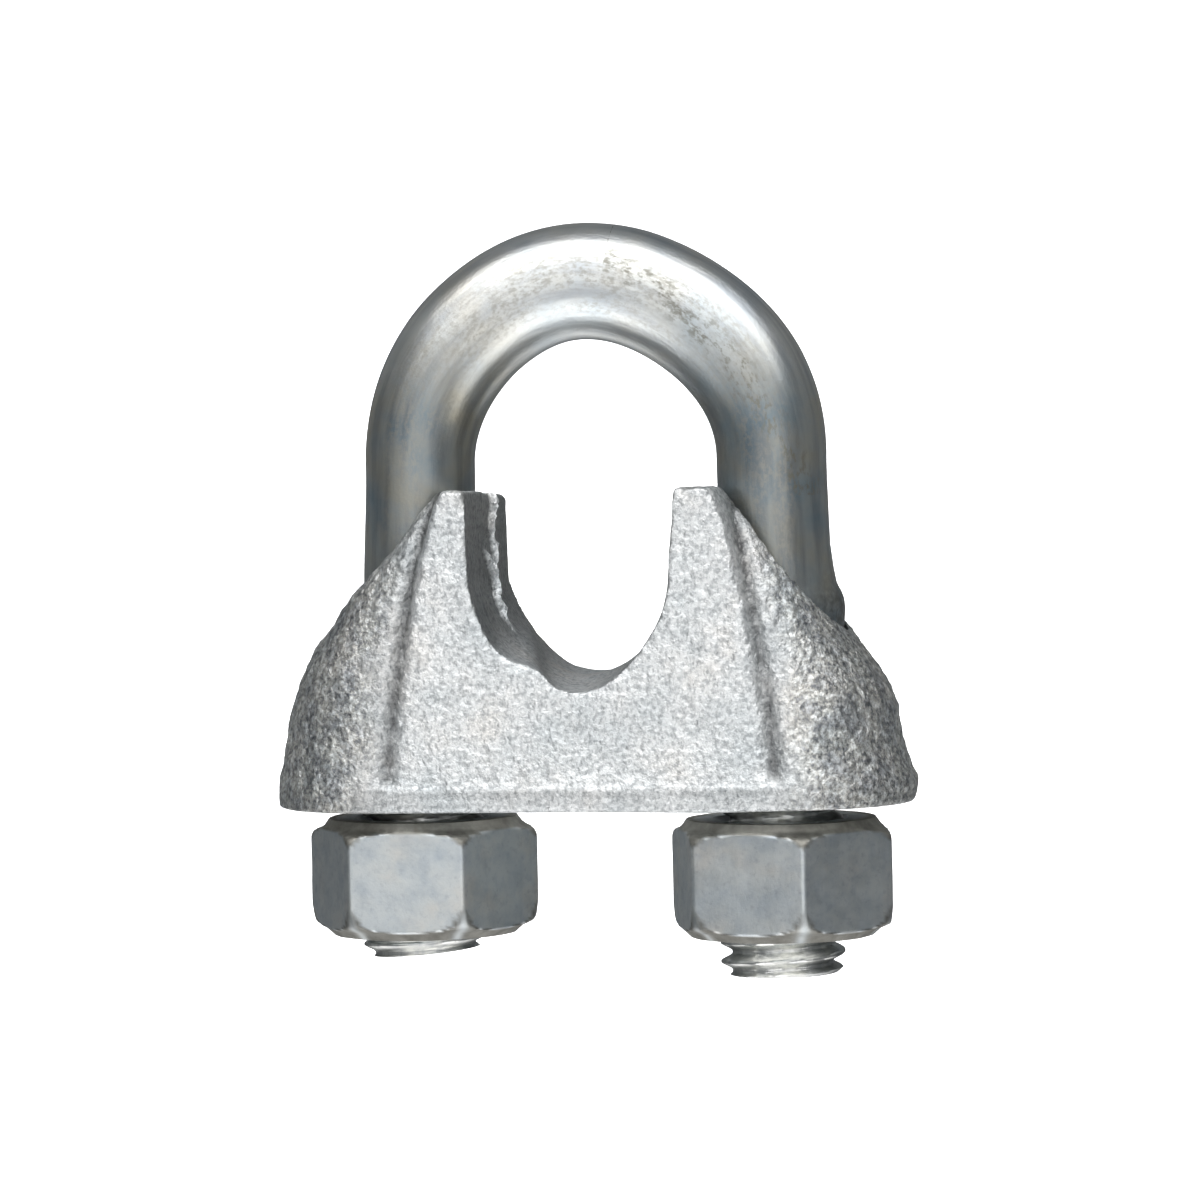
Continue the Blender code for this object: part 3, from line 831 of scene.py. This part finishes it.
def nut_zinc():
    """Satin zinc on the nuts, with painted shade in a dark olive crown round the faces."""
    nodes = Nodes("nut_zinc")
    tones = nodes.ramp(nodes.noise(4.0, 3.0), [
        (0.30, (0.63, 0.68, 0.71)),
        (0.55, (0.71, 0.74, 0.74)),
        (0.78, (0.75, 0.73, 0.69)),
    ])
    # Painted shade on the chamfered crowns, olive-brown and darker still at the foot.
    crown_shade = nodes.ramp(nodes.noise(1.4, 4.0, 0.6), [
        (0.35, (0.29, 0.28, 0.25)),
        (0.65, (0.46, 0.45, 0.41)),
    ])
    specks = nodes.ramp(nodes.noise(0.5, 4.0, 0.65), [
        (0.30, (0.87, 0.87, 0.88)),
        (0.46, (1.0, 1.0, 1.0)),
    ])
    clouds = nodes.ramp(nodes.noise(1.5, 4.0, 0.6), [
        (0.34, (0.85, 0.87, 0.90)),
        (0.56, (1.0, 1.0, 1.0)),
    ])
    clean = nodes.times(nodes.times(tones, clouds), specks)
    crown_shade = nodes.mix(nodes.attribute("foot"), crown_shade, nodes.times(crown_shade, (0.62, 0.62, 0.62)))
    crown = nodes.attribute("crown")
    nodes.drive("Base Color", nodes.mix(crown, clean, crown_shade))
    nodes.shader.inputs["Metallic"].default_value = 1.0
    roughness = nodes.spread(nodes.noise(1.2, 4.0), 0.32, 0.48)
    nodes.drive("Roughness", nodes.largest(roughness, nodes.spread(crown, 0.2, 0.52)))
    fine = nodes.bump(nodes.noise(0.3, 3.0), 0.02, 0.6)
    normal = nodes.bump(nodes.noise(2.0, 3.0), 0.06, 0.5, fine)
    nodes.drive("Normal", normal)
    return nodes.material


def dress(obj, material, body, node):
    obj.data.shade_smooth()
    obj.data.set_sharp_from_angle(angle=math.radians(40))
    obj.data.materials.clear()
    obj.data.materials.append(material)
    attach(obj, body)
    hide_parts(node)


# ---- studio ----
def studio_material():
    material = bpy.data.materials.new("studio_white")
    material.use_nodes = True
    shader = material.node_tree.nodes["Principled BSDF"]
    shader.inputs["Base Color"].default_value = (0.9, 0.9, 0.9, 1.0)
    shader.inputs["Roughness"].default_value = 0.9
    shader.inputs["Emission Color"].default_value = (1.0, 1.0, 1.0, 1.0)
    shader.inputs["Emission Strength"].default_value = 0.88
    return material


def studio_cove():
    """A round white floor that curves up into a wall all round."""
    floor_z = LOWEST - 0.5
    flat_r, curve_r, wall = 900.0, 500.0, 600.0
    profile = [(0.5, 0.0), (60.0, 0.0), (300.0, 0.0), (flat_r, 0.0)]
    for i in range(1, 13):
        angle = math.pi / 2 * i / 12
        profile.append((flat_r + curve_r * math.sin(angle), curve_r * (1 - math.cos(angle))))
    profile.append((flat_r + curve_r, curve_r + wall))
    turn = np.linspace(0, 2 * math.pi, 96, endpoint=False)
    rings = []
    for radius, up in profile:
        height = np.full(96, floor_z + up)
        rings.append(np.stack([radius * np.cos(turn), radius * np.sin(turn), height], axis=1))
    points = np.concatenate(rings)
    faces = tube_faces(len(profile), 96, False) + [tuple(range(96))]
    obj = mesh_object("studio_cove", points, faces)
    obj.data.shade_smooth()
    obj.data.materials.append(studio_material())
    obj.visible_glossy = False
    obj.visible_shadow = False


def soft_light(name, azimuth, elevation, width, height, brightness):
    """A softbox that faces the clip from that direction; all angles are in degrees.

    Azimuth 0 is in front of the clip, and the sizes are as seen from it.
    """
    distance = 700 * MM
    out = Vector((
        math.sin(math.radians(azimuth)) * math.cos(math.radians(elevation)),
        -math.cos(math.radians(azimuth)) * math.cos(math.radians(elevation)),
        math.sin(math.radians(elevation)),
    ))
    light = bpy.data.lights.new(name, "AREA")
    light.shape = "RECTANGLE"
    light.size = 2 * distance * math.tan(math.radians(width / 2))
    light.size_y = 2 * distance * math.tan(math.radians(height / 2))
    light.energy = brightness * math.pi * light.size * light.size_y
    obj = bpy.data.objects.new(name, light)
    bpy.context.scene.collection.objects.link(obj)
    obj.location = out * distance
    obj.rotation_euler = (-out).to_track_quat("-Z", "Y").to_euler()
    obj.visible_camera = False


def studio_world():
    world = bpy.data.worlds.new("studio")
    world.use_nodes = True
    background = world.node_tree.nodes["Background"]
    background.inputs["Color"].default_value = (0.92, 0.97, 1.0, 1.0)
    background.inputs["Strength"].default_value = 0.15
    bpy.context.scene.world = world


def camera():
    """A long lens just above the clip's middle, a little to its right and rolled by a degree."""
    azimuth, elevation, roll = (math.radians(a) for a in (8.61, 2.15, 1.11))
    distance = 390.0
    aim = Vector((0.25, 0.0, -2.05))
    back = Vector((
        math.sin(azimuth) * math.cos(elevation),
        -math.cos(azimuth) * math.cos(elevation),
        math.sin(elevation),
    ))
    data = bpy.data.cameras.new("camera")
    data.lens = 147.6
    data.sensor_width = 36.0
    data.clip_start = 0.01
    data.clip_end = 20.0
    obj = bpy.data.objects.new("camera", data)
    bpy.context.scene.collection.objects.link(obj)
    level = (-back).to_track_quat("-Z", "Y").to_matrix().to_4x4()
    rolled = level @ Matrix.Rotation(-roll, 4, "Z")
    obj.matrix_world = Matrix.Translation((aim + back * distance) * MM) @ rolled
    bpy.context.scene.camera = obj


# ---- scene ----
bolt_metal, cast_metal, nut_metal = rolled_zinc(), cast_zinc(), nut_zinc()
dress(u_bolt(), bolt_metal, "u_bolt", "u_bolt")
dress(saddle(), cast_metal, "saddle", "saddle")
for side_name in SIDES:
    dress(nut(side_name), nut_metal, f"{side_name}_nut", f"{side_name}_nut")

studio_cove()
studio_world()
soft_light("top_softbox", azimuth=5, elevation=57, width=100, height=64, brightness=1.7)
soft_light("front_softbox", azimuth=5, elevation=0, width=60, height=30, brightness=0.9)
soft_light("low_softbox", azimuth=9, elevation=-60, width=100, height=54, brightness=1.45)
soft_light("low_back_softbox", azimuth=0, elevation=-118, width=90, height=52, brightness=0.8)
camera()
bpy.context.scene.view_settings.view_transform = "Standard"
